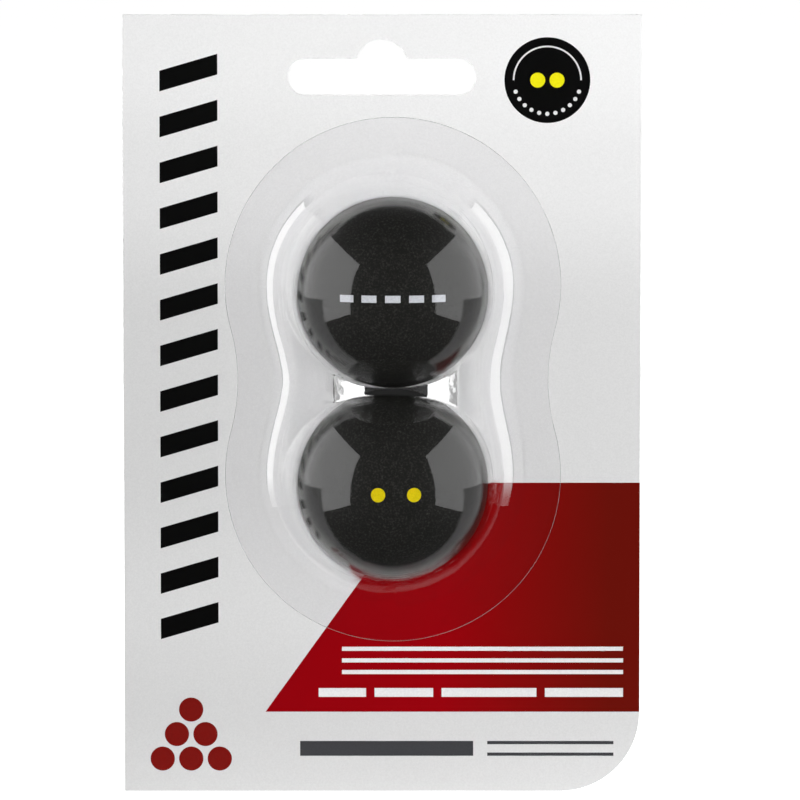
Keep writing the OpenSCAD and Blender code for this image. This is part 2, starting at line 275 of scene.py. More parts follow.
carton_dark = (0.70, 0.69, 0.665)
carton_pale = (0.80, 0.79, 0.765)
fibre_scale = 900
fibre_stretch = (1, 1, 2.5)
pulp_scale = 2200
pulp_height = 0.04 * MM
carton, tree, shader = principled("white_carton", Roughness=0.82)
fibres = grain(tree, fibre_scale, 4, 0.6, fibre_stretch)
carton_shades = colour_ramp(tree, fibres, ((0.3, carton_dark), (0.7, carton_pale)))
tree.links.new(carton_shades, shader.inputs["Base Color"])
bump(tree, shader, grain(tree, pulp_scale, 3), pulp_height)
dress("card_board", carton)


# The silver film is laminated over the whole front of the board. It is pale and half matt, with
# fine grains of metal in it, and painted light makes its silver a little paler towards the top and the
# right.
def share_along(tree, axis, low, high, low_value=0.0, high_value=1.0):
    """Goes from one value to another along an axis of the object, from low to high in metres."""
    place = node(tree, "ShaderNodeTexCoord")
    axes = node(tree, "ShaderNodeSeparateXYZ")
    share = node(tree, "ShaderNodeMapRange")
    share.inputs["From Min"].default_value = low
    share.inputs["From Max"].default_value = high
    share.inputs["To Min"].default_value = low_value
    share.inputs["To Max"].default_value = high_value
    tree.links.new(place.outputs["Object"], axes.inputs[0])
    tree.links.new(axes.outputs[axis], share.inputs["Value"])
    return share.outputs["Result"]


def tinted(tree, colour, tint):
    """One colour times another."""
    product = node(tree, "ShaderNodeMix", data_type="RGBA", blend_type="MULTIPLY")
    product.inputs["Factor"].default_value = 1.0
    tree.links.new(colour, product.inputs[6])
    tree.links.new(tint, product.inputs[7])
    return product.outputs[2]


metal_grain_scale = 2600
film_skin_scale = 3200
film_skin_height = 0.01 * MM


def metal_grain(tree, dark, pale):
    """The film's fine grains, as a colour between a dark and a pale one."""
    return colour_ramp(tree, grain(tree, metal_grain_scale, 3, 0.7), ((0.3, dark), (0.7, pale)))


def film_skin(tree, shader):
    """The film's faint roughness, which shows through the prints too."""
    bump(tree, shader, grain(tree, film_skin_scale, 2), film_skin_height)


# Each stop is a share of the card's height and how pale the painted light makes the silver there.
painted_light_shares = ((0.08, 0.73), (0.25, 0.8), (0.42, 0.755), (0.6, 0.76), (0.8, 0.89), (0.95, 0.97))
left_painted_light = 0.95
right_painted_light = 1.06
grain_dark = (0.92, 0.92, 0.92)
grain_pale = (1, 1, 1)
film_low, film_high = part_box("silver_film")
film, tree, shader = principled("silver_film", Roughness=0.5)
shader.inputs["Specular IOR Level"].default_value = 0.3
painted_light_stops = [(share, (level, level, level)) for share, level in painted_light_shares]
# Painted light: the silver is made paler up the card and towards the right.
silver = colour_ramp(tree, share_along(tree, "Z", film_low[2], film_high[2]), painted_light_stops, "EASE")
sideways = share_along(tree, "X", film_low[0], film_high[0], left_painted_light, right_painted_light)
flecks = metal_grain(tree, grain_dark, grain_pale)
tree.links.new(tinted(tree, tinted(tree, silver, sideways), flecks), shader.inputs["Base Color"])
film_skin(tree, shader)
dress("silver_film", film)


# The prints are solid inks in the film, level with its face: a red panel that darkens to the
# right, a black badge with yellow dots, black bars, dark red spots, and white and grey lines.
def solid_ink(name, colour, roughness=0.4, speckle=0.06):
    """A printed ink with the faint speckle of the film's grain in it."""
    ink, tree, shader = principled(name, Roughness=roughness)
    shader.inputs["Specular IOR Level"].default_value = 0.1
    dark = [c * (1 - speckle) for c in colour]
    pale = [min(1.0, c * (1 + speckle)) for c in colour]
    tree.links.new(metal_grain(tree, dark, pale), shader.inputs["Base Color"])
    film_skin(tree, shader)
    return ink


# Each stop is a share of the panel's width and the red there.
red_shares = ((0.1, (0.29, 0.001, 0.004)), (0.47, (0.31, 0.001, 0.004)), (0.92, (0.145, 0.006, 0.003)))
panel_low, panel_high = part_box("red_panel")
red_ink, tree, shader = principled("red_ink", Roughness=0.4)
shader.inputs["Specular IOR Level"].default_value = 0.08
red = colour_ramp(tree, share_along(tree, "X", panel_low[0], panel_high[0]), red_shares)
tree.links.new(red, shader.inputs["Base Color"])
film_skin(tree, shader)
dress("red_panel", red_ink)

black_ink = solid_ink("black_ink", (0.003, 0.003, 0.003), 0.35)
white_ink = solid_ink("white_ink", (0.82, 0.82, 0.82))
dress("badge_disc", black_ink)
dress("caption_lines", white_ink)
dress("badge_dots", solid_ink("yellow_ink", (0.92, 0.85, 0.01)))
dress("footer_lines", solid_ink("grey_ink", (0.055, 0.055, 0.06)))


# The slanted bars down the card's left side are solid black ink, level with the film. One bar is
# sheared and set again and again down a line.
def shape_tree(name, sizes):
    """A Geometry Nodes tree with an input for each size. Returns it, its sizes and its end."""
    tree = bpy.data.node_groups.new(name, "GeometryNodeTree")
    tree.interface.new_socket("Geometry", in_out="OUTPUT", socket_type="NodeSocketGeometry")
    for size in sizes:
        kind = "NodeSocketInt" if size.endswith("count") else "NodeSocketFloat"
        tree.interface.new_socket(size, in_out="INPUT", socket_type=kind)
    tree.interface.new_socket("Finish", in_out="INPUT", socket_type="NodeSocketMaterial")
    return tree, tree.nodes.new("NodeGroupInput").outputs, tree.nodes.new("NodeGroupOutput").inputs


def end_tree(tree, shape, sizes, end):
    """Ends a tree with real geometry in its material."""
    real = node(tree, "GeometryNodeRealizeInstances")
    finish = node(tree, "GeometryNodeSetMaterial")
    tree.links.new(shape, real.inputs[0])
    tree.links.new(real.outputs[0], finish.inputs["Geometry"])
    tree.links.new(sizes["Finish"], finish.inputs["Material"])
    tree.links.new(finish.outputs[0], end[0])


def fill(tree, step, values):
    """Gives a node its inputs, sockets or plain numbers, and returns its first output."""
    for socket, value in zip(step.inputs, values):
        if isinstance(value, (int, float)):
            socket.default_value = value
        else:
            tree.links.new(value, socket)
    return step.outputs[0]


def math_node(tree, operation, *values):
    """A sum of sockets and numbers."""
    return fill(tree, node(tree, "ShaderNodeMath", operation=operation), values)


def vector(tree, x=0.0, y=0.0, z=0.0):
    """Three sockets or numbers as one vector."""
    return fill(tree, node(tree, "ShaderNodeCombineXYZ"), (x, y, z))


def position(tree):
    """The x, y and z of each point."""
    where = node(tree, "GeometryNodeInputPosition")
    axes = node(tree, "ShaderNodeSeparateXYZ")
    tree.links.new(where.outputs[0], axes.inputs[0])
    return axes.outputs


def set_position(tree, shape, place, socket="Position"):
    """A shape with each point set to a place, or moved by it as an Offset."""
    step = node(tree, "GeometryNodeSetPosition")
    tree.links.new(shape, step.inputs["Geometry"])
    tree.links.new(place, step.inputs[socket])
    return step.outputs[0]


def moved(tree, shape, place=None, turn=None):
    """A shape turned by Euler angles in radians and then moved to a place."""
    step = node(tree, "GeometryNodeTransform")
    tree.links.new(shape, step.inputs["Geometry"])
    if place is not None:
        tree.links.new(place, step.inputs["Translation"])
    if turn is not None:
        tree.links.new(turn, step.inputs["Rotation"])
    return step.outputs[0]


def on_points(tree, points, shape):
    """One copy of a shape on each point."""
    step = node(tree, "GeometryNodeInstanceOnPoints")
    tree.links.new(points, step.inputs["Points"])
    tree.links.new(shape, step.inputs["Instance"])
    return step


sharp_edge = math.radians(40)


def grown(name, tree, finish, sizes, body, replaced):
    """Runs a tree once, keeps its result as a plain mesh and puts it in place of a node."""
    host = new_object(name, bpy.data.meshes.new(name + "_seed"))
    rule = host.modifiers.new("rule", "NODES")
    rule.node_group = tree
    for socket in tree.interface.items_tree:
        if socket.in_out == "INPUT":
            rule[socket.identifier] = finish if socket.name == "Finish" else sizes[socket.name]
    mesh = bpy.data.meshes.new_from_object(host.evaluated_get(bpy.context.evaluated_depsgraph_get()))
    host.modifiers.remove(rule)
    host.data = mesh
    mesh.name = name
    mesh.materials.clear()
    mesh.materials.append(finish)
    mesh.polygons.foreach_set("material_index", [0] * len(mesh.polygons))
    mesh.shade_smooth()
    mesh.set_sharp_from_angle(angle=sharp_edge)
    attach(host, body)
    # The frame may hold the finish's plain name, and then Blender adds a number to this one.
    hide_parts(replaced)


ink_t = 0.08 * MM
ink_y = film_low[1] + ink_t / 2
bars_low, bars_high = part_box("side_bars")
bar_sizes = {
    "Bar count": 13, "Height": 4.4 * MM, "Rise": 3.6 * MM, "Width": bars_high[0] - bars_low[0],
    "Thickness": ink_t, "Depth": ink_y, "Middle": (bars_low[0] + bars_high[0]) / 2,
}
bar_reach = bar_sizes["Height"] + bar_sizes["Rise"]
bar_sizes["Top"] = bars_high[2] - bar_reach / 2
bar_sizes["Pitch"] = (bars_high[2] - bars_low[2] - bar_reach) / (bar_sizes["Bar count"] - 1)
tree, sizes, end = shape_tree("bar_rule", bar_sizes)
bar = node(tree, "GeometryNodeMeshCube")
tree.links.new(vector(tree, sizes["Width"], sizes["Thickness"], sizes["Height"]), bar.inputs["Size"])
along_bar = math_node(tree, "DIVIDE", position(tree)[0], sizes["Width"])
lean = math_node(tree, "MULTIPLY", along_bar, sizes["Rise"])
slanted = set_position(tree, bar.outputs["Mesh"], vector(tree, 0, 0, lean), "Offset")
column = node(tree, "GeometryNodeMeshLine")
down = math_node(tree, "MULTIPLY", sizes["Pitch"], -1.0)
tree.links.new(sizes["Bar count"], column.inputs["Count"])
tree.links.new(vector(tree, sizes["Middle"], sizes["Depth"], sizes["Top"]), column.inputs["Start Location"])
tree.links.new(vector(tree, 0, 0, down), column.inputs["Offset"])
end_tree(tree, on_points(tree, column.outputs[0], slanted).outputs[0], sizes, end)
grown("slanted_bars", tree, black_ink, bar_sizes, "pack", "side_bars")

# The spots in the lower left corner are dark red ink. They stand in rows, each row one spot
# shorter than the row below it.
spots_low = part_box("corner_spots")[0]
spot_sizes = {"Row count": 3, "Diameter": 5.2 * MM, "Pitch": 6.1 * MM, "Thickness": ink_t, "Depth": ink_y}
spot_sizes["Left"] = spots_low[0] + spot_sizes["Diameter"] / 2
spot_sizes["Foot"] = spots_low[2] + spot_sizes["Diameter"] / 2
spot_sides = 72
tree, sizes, end = shape_tree("spot_rule", spot_sizes)
spot = node(tree, "GeometryNodeMeshCylinder", Vertices=spot_sides)
tree.links.new(math_node(tree, "DIVIDE", sizes["Diameter"], 2.0), spot.inputs["Radius"])
tree.links.new(sizes["Thickness"], spot.inputs["Depth"])
facing = moved(tree, spot.outputs["Mesh"], turn=vector(tree, math.pi / 2, 0, 0))
square = node(tree, "GeometryNodeMeshLine")
places = math_node(tree, "MULTIPLY", sizes["Row count"], sizes["Row count"])
tree.links.new(places, square.inputs["Count"])
index = node(tree, "GeometryNodeInputIndex").outputs[0]
row = math_node(tree, "FLOOR", math_node(tree, "DIVIDE", index, sizes["Row count"]))
in_row = math_node(tree, "MODULO", index, sizes["Row count"])
steps_right = math_node(tree, "ADD", in_row, math_node(tree, "MULTIPLY", row, 0.5))
steps_up = math_node(tree, "MULTIPLY", row, math.sin(math.pi / 3))
spot_x = math_node(tree, "ADD", sizes["Left"], math_node(tree, "MULTIPLY", steps_right, sizes["Pitch"]))
spot_z = math_node(tree, "ADD", sizes["Foot"], math_node(tree, "MULTIPLY", steps_up, sizes["Pitch"]))
laid = set_position(tree, square.outputs[0], vector(tree, spot_x, sizes["Depth"], spot_z))
last = math_node(tree, "SUBTRACT", sizes["Row count"], 0.5)
spare = math_node(tree, "GREATER_THAN", math_node(tree, "ADD", row, in_row), last)
stack = node(tree, "GeometryNodeDeleteGeometry")
tree.links.new(laid, stack.inputs["Geometry"])
tree.links.new(spare, stack.inputs["Selection"])
end_tree(tree, on_points(tree, stack.outputs[0], facing).outputs[0], sizes, end)
dark_red_ink = solid_ink("dark_red_ink", (0.19, 0.008, 0.006))
grown("stacked_spots", tree, dark_red_ink, spot_sizes, "pack", "corner_spots")

# The badge's line is white ink: half a ring over the middle, and below it a row of ticks on the
# same circle.
disc_low, disc_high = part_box("badge_disc")
ring_sizes = {
    "Tick count": 11, "Diameter": 14.3 * MM, "Line width": 0.35 * MM, "Tick diameter": 0.9 * MM,
    "Tick span": 140.0, "Thickness": ink_t, "Depth": ink_y,
}
ring_sizes["Across"] = (disc_low[0] + disc_high[0]) / 2
ring_sizes["Up"] = (disc_low[2] + disc_high[2]) / 2
ring_steps = 96
tick_sides = 32
tree, sizes, end = shape_tree("ring_rule", ring_sizes)
ring_r = math_node(tree, "DIVIDE", sizes["Diameter"], 2.0)
half_ring = node(tree, "GeometryNodeCurveArc", Start_Angle=0.0, Sweep_Angle=math.pi)
half_ring.inputs["Resolution"].default_value = ring_steps + 1
tree.links.new(ring_r, half_ring.inputs["Radius"])
line = node(tree, "GeometryNodeCurvePrimitiveQuadrilateral")
tree.links.new(sizes["Line width"], line.inputs["Width"])
tree.links.new(sizes["Thickness"], line.inputs["Height"])
swept = node(tree, "GeometryNodeCurveToMesh")
swept.inputs["Fill Caps"].default_value = True
tree.links.new(half_ring.outputs["Curve"], swept.inputs["Curve"])
tree.links.new(line.outputs[0], swept.inputs["Profile Curve"])
foot_arc = node(tree, "GeometryNodeCurveArc")
span = math_node(tree, "RADIANS", sizes["Tick span"])
first = math_node(tree, "SUBTRACT", -math.pi / 2, math_node(tree, "DIVIDE", span, 2.0))
tree.links.new(sizes["Tick count"], foot_arc.inputs["Resolution"])
tree.links.new(ring_r, foot_arc.inputs["Radius"])
tree.links.new(first, foot_arc.inputs["Start Angle"])
tree.links.new(span, foot_arc.inputs["Sweep Angle"])
stops = node(tree, "GeometryNodeCurveToPoints", mode="EVALUATED")
tree.links.new(foot_arc.outputs["Curve"], stops.inputs[0])
tick = node(tree, "GeometryNodeMeshCylinder", Vertices=tick_sides)
tree.links.new(math_node(tree, "DIVIDE", sizes["Tick diameter"], 2.0), tick.inputs["Radius"])
tree.links.new(sizes["Thickness"], tick.inputs["Depth"])
joined = node(tree, "GeometryNodeJoinGeometry")
tree.links.new(swept.outputs[0], joined.inputs[0])
tree.links.new(on_points(tree, stops.outputs["Points"], tick.outputs["Mesh"]).outputs[0], joined.inputs[0])
badge_middle = vector(tree, sizes["Across"], sizes["Depth"], sizes["Up"])
upright = moved(tree, joined.outputs[0], badge_middle, vector(tree, math.pi / 2, 0, 0))
end_tree(tree, upright, sizes, end)
grown("ring_and_ticks", tree, white_ink, ring_sizes, "pack", "badge_ring")

# Each ball is two moulded rubber half shells, glued along a thin bond. The rubber is matt and
# almost black, with fine specks of filler. The dots and dashes are printed on it.
rubber_black = (0.011, 0.011, 0.01)
speck_grey = (0.066, 0.066, 0.06)
speck_scale = 2300
rubber_skin_scale = 2600
rubber_skin_height = 0.03 * MM
rubber, tree, shader = principled("ball_rubber", Roughness=0.55)
shader.inputs["Specular IOR Level"].default_value = 0.25
specks = grain(tree, speck_scale, 5, 0.7)
rubber_shades = colour_ramp(tree, specks, ((0.5, rubber_black), (0.78, speck_grey)))
tree.links.new(rubber_shades, shader.inputs["Base Color"])
bump(tree, shader, grain(tree, rubber_skin_scale, 3, 0.6), rubber_skin_height)
bond = solid_ink("bond", (0.014, 0.014, 0.013), 0.5)
dress("upper_bond", bond)
dress("lower_bond", bond)

front_low, front_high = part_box("upper_front_half")
half_sizes = {"Wall": 5.2 * MM, "Bond": 0.2 * MM, "Front": 1.0, "Up": 0.0}
half_sizes["Radius"] = (front_high[0] - front_low[0]) / 2
half_sizes["Across"] = (front_low[0] + front_high[0]) / 2
half_sizes["Depth"] = front_high[1] + half_sizes["Bond"] / 2
around_steps = 144
profile_steps = 36
tree, sizes, end = shape_tree("half_shell_rule", half_sizes)
# A grid is wrapped round the pole, from inside the pole out along the rim and over the outside.
wrap = node(tree, "GeometryNodeMeshGrid", Size_X=1.0, Size_Y=1.0)
wrap.inputs["Vertices X"].default_value = around_steps + 1
wrap.inputs["Vertices Y"].default_value = 2 * profile_steps + 2
share_x, share_y = position(tree)[:2]
round_pole = math_node(tree, "MULTIPLY_ADD", share_x, math.tau, math.pi)
from_rim = math_node(tree, "MULTIPLY", share_y, 2.0 * profile_steps + 1)
outside = math_node(tree, "GREATER_THAN", from_rim, 0.0)
climbed = math_node(tree, "SUBTRACT", math_node(tree, "ABSOLUTE", from_rim), 0.5)
latitude = math_node(tree, "MULTIPLY", climbed, math.pi / 2 / profile_steps)
inside_r = math_node(tree, "SUBTRACT", sizes["Radius"], sizes["Wall"])
radius = math_node(tree, "MULTIPLY_ADD", outside, sizes["Wall"], inside_r)
flat_r = math_node(tree, "MULTIPLY", radius, math_node(tree, "COSINE", latitude))
above_seam = math_node(tree, "MULTIPLY", radius, math_node(tree, "SINE", latitude))
above_seam = math_node(tree, "MAXIMUM", above_seam, math_node(tree, "DIVIDE", sizes["Bond"], 2.0))
shell_x = math_node(tree, "MULTIPLY", flat_r, math_node(tree, "COSINE", round_pole))
shell_y = math_node(tree, "MULTIPLY", flat_r, math_node(tree, "SINE", round_pole))
wrapped = set_position(tree, wrap.outputs["Mesh"], vector(tree, shell_x, shell_y, above_seam))
weld_reach = 0.001 * MM
welded = node(tree, "GeometryNodeMergeByDistance", Distance=weld_reach)
tree.links.new(wrapped, welded.inputs["Geometry"])
quarter = math_node(tree, "MULTIPLY", sizes["Front"], math.pi / 2)
ball_middle = vector(tree, sizes["Across"], sizes["Depth"], sizes["Up"])
end_tree(tree, moved(tree, welded.outputs[0], ball_middle, vector(tree, quarter, 0, 0)), sizes, end)
for ball in ("upper", "lower"):
    half_low, half_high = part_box(f"{ball}_front_half")
    half_sizes["Up"] = (half_low[2] + half_high[2]) / 2
    for half, front in (("front", 1.0), ("rear", -1.0)):
        half_sizes["Front"] = front
        grown(f"{ball}_{half}_shell", tree, rubber, half_sizes, f"{ball}_ball", f"{ball}_{half}_half")


# The marks on the balls are thin pads of ink that follow the rubber: a pair of yellow dots on each
# ball, at the back of the upper one, and a row of white dashes on the upper one's front.
def squared(tree, value):
    """A value times itself."""
    return math_node(tree, "MULTIPLY", value, value)


mark_sizes = {
    "Mark count": 2, "Width": 3 * MM, "Height": 3 * MM, "Roundness": 1.0, "Pitch angle": 0.0,
    "Turn": 0.0, "Tilt": 0.0, "Sunk": 0.02 * MM, "Proud": 0.01 * MM,
    "Radius": half_sizes["Radius"], "Across": half_sizes["Across"], "Depth": half_sizes["Depth"],
    "Up": 0.0,
}
tree, sizes, end = shape_tree("mark_rule", mark_sizes)
# A square of points from -1 to 1 is pulled in to a disc as far as the mark is round, and laid on
# the ball.
pad_steps = 16
pad = node(tree, "GeometryNodeMeshGrid", Size_X=2.0, Size_Y=2.0)
pad.inputs["Vertices X"].default_value = pad_steps + 1
pad.inputs["Vertices Y"].default_value = pad_steps + 1
share_x, share_y = position(tree)[:2]
squares = math_node(tree, "ADD", squared(tree, share_x), squared(tree, share_y))
never_zero = 1e-6
length = math_node(tree, "MAXIMUM", math_node(tree, "SQRT", squares), never_zero)
reach_x = math_node(tree, "ABSOLUTE", share_x)
reach_y = math_node(tree, "ABSOLUTE", share_y)
reach_out = math_node(tree, "MAXIMUM", reach_x, reach_y)
pull = node(tree, "ShaderNodeMix", data_type="FLOAT")
pull.inputs["A"].default_value = 1.0
tree.links.new(sizes["Roundness"], pull.inputs["Factor"])
tree.links.new(math_node(tree, "DIVIDE", reach_out, length), pull.inputs["B"])
half_pull = math_node(tree, "DIVIDE", pull.outputs["Result"], 2.0)
pad_x = math_node(tree, "MULTIPLY", math_node(tree, "MULTIPLY", share_x, sizes["Width"]), half_pull)
pad_y = math_node(tree, "MULTIPLY", math_node(tree, "MULTIPLY", share_y, sizes["Height"]), half_pull)
under_r = math_node(tree, "SUBTRACT", sizes["Radius"], sizes["Sunk"])
pad_z2 = math_node(tree, "SUBTRACT", squared(tree, under_r), squared(tree, pad_x))
pad_z2 = math_node(tree, "SUBTRACT", pad_z2, squared(tree, pad_y))
pad_z = math_node(tree, "SQRT", pad_z2)
curved = set_position(tree, pad.outputs["Mesh"], vector(tree, pad_x, pad_y, pad_z))
thick = node(tree, "GeometryNodeExtrudeMesh")
thick.inputs["Individual"].default_value = False
tree.links.new(curved, thick.inputs["Mesh"])
tree.links.new(math_node(tree, "ADD", sizes["Sunk"], sizes["Proud"]), thick.inputs["Offset Scale"])
backing = node(tree, "GeometryNodeFlipFaces")
tree.links.new(curved, backing.inputs[0])
closed = node(tree, "GeometryNodeJoinGeometry")
tree.links.new(thick.outputs["Mesh"], closed.inputs[0])
tree.links.new(backing.outputs[0], closed.inputs[0])
welded = node(tree, "GeometryNodeMergeByDistance", Distance=weld_reach / 2)
tree.links.new(closed.outputs[0], welded.inputs["Geometry"])
mark_row = node(tree, "GeometryNodeMeshLine")
mark_row.inputs["Offset"].default_value = (0, 0, 0)
tree.links.new(sizes["Mark count"], mark_row.inputs["Count"])
index = node(tree, "GeometryNodeInputIndex").outputs[0]
middle_mark = math_node(tree, "DIVIDE", math_node(tree, "SUBTRACT", sizes["Mark count"], 1.0), 2.0)
from_middle = math_node(tree, "SUBTRACT", index, middle_mark)
swing = math_node(tree, "RADIANS", math_node(tree, "MULTIPLY", from_middle, sizes["Pitch angle"]))
marks = on_points(tree, mark_row.outputs[0], welded.outputs[0])
tree.links.new(vector(tree, 0, swing, 0), marks.inputs["Rotation"])
tilt = math_node(tree, "RADIANS", sizes["Tilt"])
swivel = math_node(tree, "RADIANS", sizes["Turn"])
turned = moved(tree, marks.outputs[0], turn=vector(tree, tilt, swivel, 0))
ball_middle = vector(tree, sizes["Across"], sizes["Depth"], sizes["Up"])
end_tree(tree, moved(tree, turned, ball_middle, vector(tree, math.pi / 2, 0, 0)), sizes, end)

# The lower ball lies turned a little to the right and down, as its dots show.
dot_pitch = 7.5 * MM
dot_angle = math.degrees(2 * math.asin(dot_pitch / 2 / mark_sizes["Radius"]))
ball_yellow = solid_ink("yellow_ball_ink", (0.72, 0.58, 0.006), 0.45, 0.12)
lower_dot_sizes = {
    **mark_sizes, "Pitch angle": dot_angle, "Turn": 2.0, "Tilt": 1.0, "Up": half_sizes["Up"],
}
grown("lower_printed_dots", tree, ball_yellow, lower_dot_sizes, "lower_ball", "lower_dots")
half_low, half_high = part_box("upper_front_half")
upper_up = (half_low[2] + half_high[2]) / 2
upper_dot_sizes = {**mark_sizes, "Pitch angle": dot_angle, "Turn": 180.0, "Up": upper_up}
grown("upper_printed_dots", tree, ball_yellow, upper_dot_sizes, "upper_ball", "upper_dots")
dash_pitch = 5 * MM
dash_angle = math.degrees(dash_pitch / mark_sizes["Radius"])
ball_white = solid_ink("white_ball_ink", (0.62, 0.64, 0.68), 0.45, 0.12)
dash_sizes = {
    **mark_sizes, "Mark count": 5, "Width": 3.2 * MM, "Height": 1.5 * MM, "Roundness": 0.0,
    "Pitch angle": dash_angle, "Up": upper_up,
}
grown("upper_printed_dashes", tree, ball_white, dash_sizes, "upper_ball", "upper_dashes")

# The blister is one clear sheet, thermoformed: a flat flange, sloping walls, a dome over each ball
# and a neck between them, sealed to the film by a coat under the flange. Its sizes here are in
# millimetres, x and z from its middle and h from the card's face.
sheet_t = 0.35
seal_t = 0.1
# Two faces that touch are kept this far apart, so that neither flickers through the other.
face_lift = 0.005
blister_low, blister_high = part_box("clear_blister")
blister_x = (blister_low[0] + blister_high[0]) / 2 / MM
blister_z = (blister_low[2] + blister_high[2]) / 2 / MM
card_face = -film_low[1] / MM
flange_r = (blister_high[0] - blister_low[0]) / 2 / MM
ball_up = (blister_high[2] - blister_low[2]) / 2 / MM - flange_r
dome_top = -blister_low[1] / MM - card_face
dome_r = 20.85
dome_h = dome_top - dome_r
brow_blend = 0.8
flange_draw = 2.7
flange_waist = flange_r - flange_draw
flange_h = seal_t + sheet_t

left_slope = math.radians(10.5)
right_slope = math.radians(1.6)
left_fillet = 4.6
right_fillet = 7.1
neck_top = 28.35
crown_r = 15.6
crown_x = 0.7
crown_h = neck_top - crown_r
knee_turn = math.radians(59.2)
knee_x = crown_r * math.sin(knee_turn)
knee_h = crown_h + crown_r * math.cos(knee_turn)
left_neck_slope = math.radians(25.4)
right_neck_slope = math.radians(17.5)
knee_blend = 0.5
foot_blend = 7.0
crown_blend = 0.4


def smooth_union(a, b, k):
    """The lower of two distances, blended where they differ by less than k."""
    mix = np.clip(0.5 + 0.5 * (b - a) / k, 0, 1)
    return b + (a - b) * mix - k * mix * (1 - mix)


def round_union(a, b, slope, r):
    """The lower of two distances, with a hollow fillet of radius r; slope is the cosine between them."""
    near_a = r - a
    near_b = r - b
    reach = (near_a**2 + near_b**2 - 2 * near_a * near_b * slope) / (1 - slope**2)
    hollow = (near_a > near_b * slope) & (near_b > near_a * slope)
    return np.where(hollow, r - np.sqrt(np.maximum(reach, 0)), np.minimum(a, b))


def pocket_distance(x, z, h):
    """Distance from the outside of a pocket's wall and dome, below zero inside."""
    rho = np.sqrt(x**2 + z**2)
    right = 0.5 * (1 + x / np.maximum(rho, never_zero))
    slope = left_slope + (right_slope - left_slope) * right
    wall = (rho - dome_r) * np.cos(slope) - (dome_h - h) * np.sin(slope)
    wall = np.maximum(wall, h - dome_h)
    dome = np.sqrt(rho**2 + (h - dome_h)**2) - dome_r
    return smooth_union(wall, dome, brow_blend)


def neck_distance(x, z, h):
    """Distance from the outside of the neck, which runs on round each pocket's axis, below zero inside."""
    slope = np.where(x < crown_x, left_neck_slope, right_neck_slope)
    x = np.hypot(x - crown_x, np.maximum(np.abs(z) - ball_up, 0))
    side = (x - knee_x) * np.cos(slope) + (h - knee_h) * np.sin(slope)
    turn = np.arctan2(x, h - crown_h)
    arc = np.sqrt(x**2 + (h - crown_h)**2) - crown_r
    flat = (x * math.sin(knee_turn) + (h - crown_h) * math.cos(knee_turn)) - crown_r
    crown = np.where(turn < knee_turn, arc, flat)
    return -smooth_union(-side, -crown, knee_blend)


def body_distance(x, z, h):
    """Distance from the outside of the pockets and the neck together."""
    pockets = np.minimum(pocket_distance(x, z - ball_up, h), pocket_distance(x, z + ball_up, h))
    beyond = np.maximum(np.abs(z) - ball_up, 0)
    sideways = x**2 / np.maximum(x**2 + beyond**2, never_zero)
    blend = crown_blend + (foot_blend - crown_blend) * (1 - np.clip(h / knee_h, 0, 1)) * sideways
    return smooth_union(pockets, neck_distance(x, z, h), blend)


slope_step = 0.05
steepest_fillet = 0.9
normal_step = 0.02


def form_distance(x, z, h):
    """Distance from the outside of the whole formed sheet, flange and fillet included."""
    body = body_distance(x, z, h)
    climb = body_distance(x, z, h + slope_step) - body_distance(x, z, h - slope_step)
    slope = np.clip(climb / (2 * slope_step), 0, steepest_fillet)
    rho = np.sqrt(x**2 + np.maximum(np.abs(z) - ball_up, 0) ** 2)
    right = 0.5 * (1 + x / np.maximum(rho, never_zero))
    fillet = left_fillet + (right_fillet - left_fillet) * right
    return round_union(body, h - flange_h, slope, fillet)


def form_normal(x, z, h):
    """The outward direction at points of the surface, by small differences."""
    step = normal_step
    gx = form_distance(x + step, z, h) - form_distance(x - step, z, h)
    gz = form_distance(x, z + step, h) - form_distance(x, z - step, h)
    gh = form_distance(x, z, h + step) - form_distance(x, z, h - step)
    size = np.sqrt(gx**2 + gz**2 + gh**2)
    return gx / size, gz / size, gh / size


def flange_edge(z):
    """How far the flange's outline lies from its own middle line, at a height z on the card."""
    hollow_r = (flange_waist**2 + ball_up**2 - flange_r**2) / (2 * (flange_r - flange_waist))
    meet = ball_up * hollow_r / (hollow_r + flange_r)
    up = np.abs(z)
    hollow = flange_waist + hollow_r - np.sqrt(np.maximum(hollow_r**2 - up**2, 0))
    bulge = np.sqrt(np.maximum(flange_r**2 - (up - ball_up) ** 2, 0))
    return np.where(up < meet, hollow, bulge)


# Columns of points run round the form: slices across it beside the neck, meridians at its ends.
slice_count = 60
turn_count = 96
neck_z = 5.0
neck_slices = 30
side_z = np.linspace(ball_up, neck_z, (slice_count - neck_slices) // 2, endpoint=False)
slice_z = np.concatenate([-side_z, np.linspace(-neck_z, neck_z, neck_slices + 1), side_z[::-1]])
end_turns = np.linspace(0, math.pi, turn_count + 1)[1:-1]
base_z = np.concatenate([
    slice_z, np.full(len(end_turns), ball_up), slice_z[::-1], np.full(len(end_turns), -ball_up)
])
lean_x = np.concatenate([
    np.ones(slice_count + 1), np.cos(end_turns), -np.ones(slice_count + 1), -np.cos(end_turns)
])
lean_z = np.concatenate([
    np.zeros(slice_count + 1), np.sin(end_turns), np.zeros(slice_count + 1), -np.sin(end_turns)
])
column_count = len(base_z)

# Rows climb from the fillet's foot over the wall and the dome, closer together where it bends.
rises = np.radians(np.concatenate([
    [0.02],
    np.linspace(0.15, 4, 28),
    np.linspace(4, 12, 18)[1:],
    np.linspace(12, 42, 26)[1:],
    np.linspace(42, 48, 14)[1:],
    np.linspace(48, 90, 44)[1:],
]))
reach = np.cos(rises)[:, None] * np.ones(column_count)
climb = np.sin(rises)[:, None] * np.ones(column_count)
